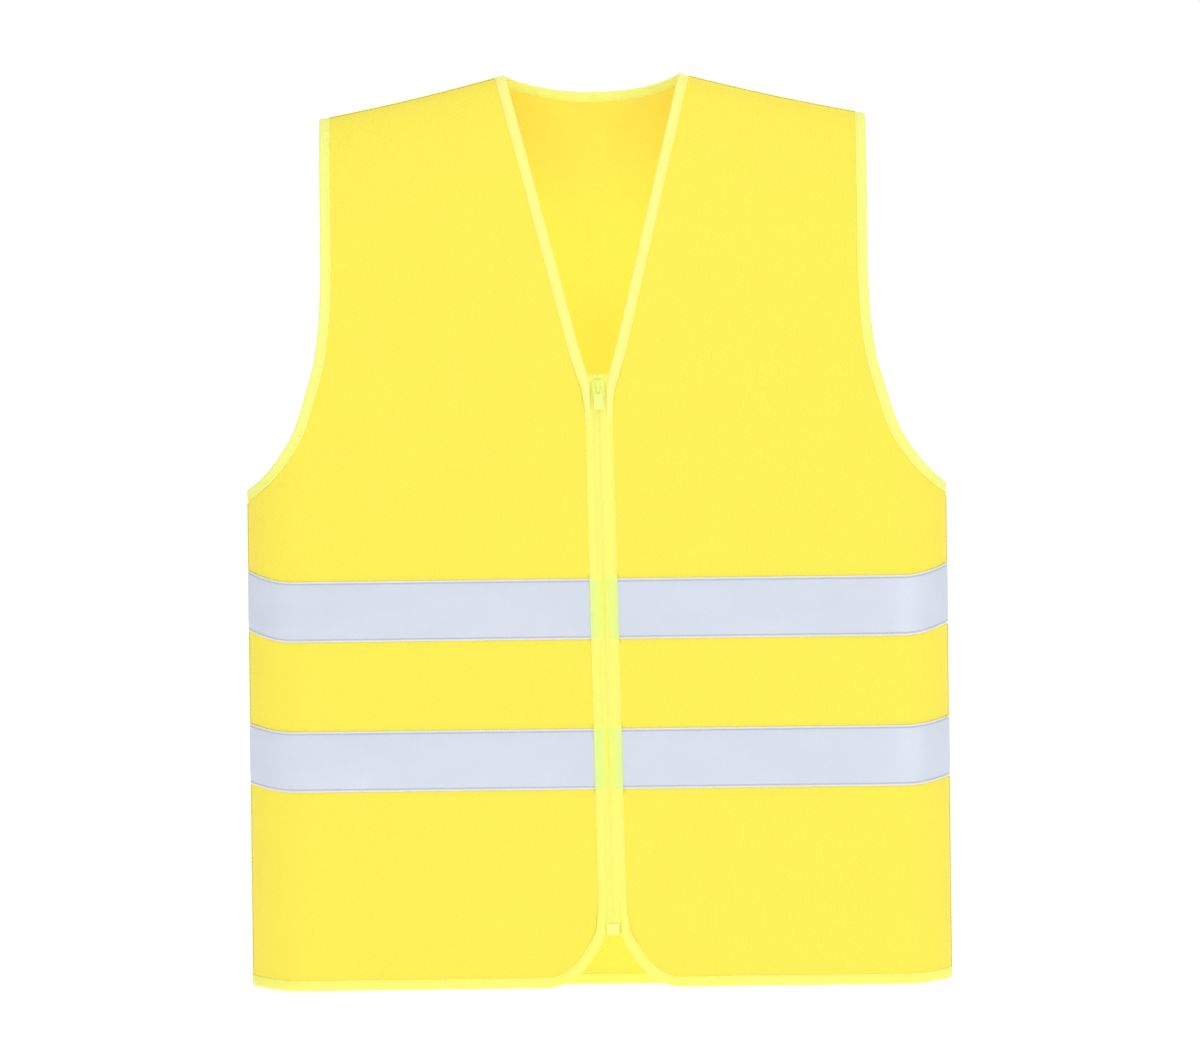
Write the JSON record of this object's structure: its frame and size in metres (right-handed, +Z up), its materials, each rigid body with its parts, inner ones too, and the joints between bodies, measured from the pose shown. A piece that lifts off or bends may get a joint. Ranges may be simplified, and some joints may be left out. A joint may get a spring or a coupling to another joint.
{
  "type": "high visibility vest",
  "caption": "Sleeveless mesh-knit safety vest with a V neck, bound edges, a full-length front zip and reflective bands round the body.",
  "frame": {"origin": "middle of the overall width and depth, at the height of the hem's lowest point", "axes": "+Z up the vest from hem to shoulders, front faces -Y, +X towards the wearer's left"},
  "size_m": [0.5806, 0.0978, 0.7567],
  "materials": {
    "knit": "fluorescent yellow open mesh knit",
    "knit_back": "fluorescent yellow open mesh knit, seen from inside at the front",
    "binding": "pale lemon folded knit binding",
    "reflective": "silver-grey retroreflective tape",
    "zip_tape": "pale yellow woven tape",
    "zip_coil": "pale yellow nylon coil",
    "zip_plastic": "yellow-green moulded plastic",
    "zip_paint": "yellow-green enamel on die-cast metal"
  },
  "bodies": {
    "vest": {"back_panel": "knit_back", "front_side_left": "knit", "front_side_right": "knit", "armhole_binding_left": "binding", "armhole_binding_right": "binding", "neck_binding": "binding", "hem_binding_back": "binding", "band_upper_back": "reflective", "band_upper_side_left": "reflective", "band_upper_side_right": "reflective", "band_lower_back": "reflective", "band_lower_side_left": "reflective", "band_lower_side_right": "reflective"},
    "left_front": {"front_fold_left": "knit", "v_binding_left": "binding", "hem_binding_left": "binding", "band_upper_fold_left": "reflective", "band_lower_fold_left": "reflective", "zip_tape_left": "zip_tape", "zip_coil_left": "zip_coil", "top_stop_left": "zip_plastic", "insertion_pin": "zip_plastic"},
    "right_front": {"front_fold_right": "knit", "v_binding_right": "binding", "hem_binding_right": "binding", "band_upper_fold_right": "reflective", "band_lower_fold_right": "reflective", "zip_tape_right": "zip_tape", "zip_coil_right": "zip_coil", "top_stop_right": "zip_plastic", "retainer_box": "zip_plastic"},
    "slider": {"zip_slider": "zip_paint"},
    "pull": {"pull_tab": "zip_paint"}
  },
  "joints": [
    {"name": "slider_slide", "type": "slide", "parent": "right_front", "child": "slider", "axis": [0.0155, 0, -0.9999], "range_m": [0, 0.435], "deforming": ["zip_coil_left", "zip_coil_right"]},
    {"name": "pull_swing", "type": "hinge", "parent": "slider", "child": "pull", "pos_m": [0.00219, -0.04682, 0.4943], "axis": [-0.9999, 0, -0.0155], "range_deg": [0, 120]},
    {"name": "left_front_open", "type": "hinge", "parent": "vest", "child": "left_front", "pos_m": [0.19, -0.04392, 0], "axis": [-0.2311, 0, 0.9729], "range_deg": [0, 75]},
    {"name": "right_front_open", "type": "hinge", "parent": "vest", "child": "right_front", "pos_m": [-0.19, -0.04392, 0], "axis": [-0.2311, 0, -0.9729], "range_deg": [0, 75]}
  ],
  "couplings": [
    {"joint": "left_front_open", "follows": "slider_slide", "rad_per_m": 3.009},
    {"joint": "right_front_open", "follows": "slider_slide", "rad_per_m": 3.009}
  ]
}
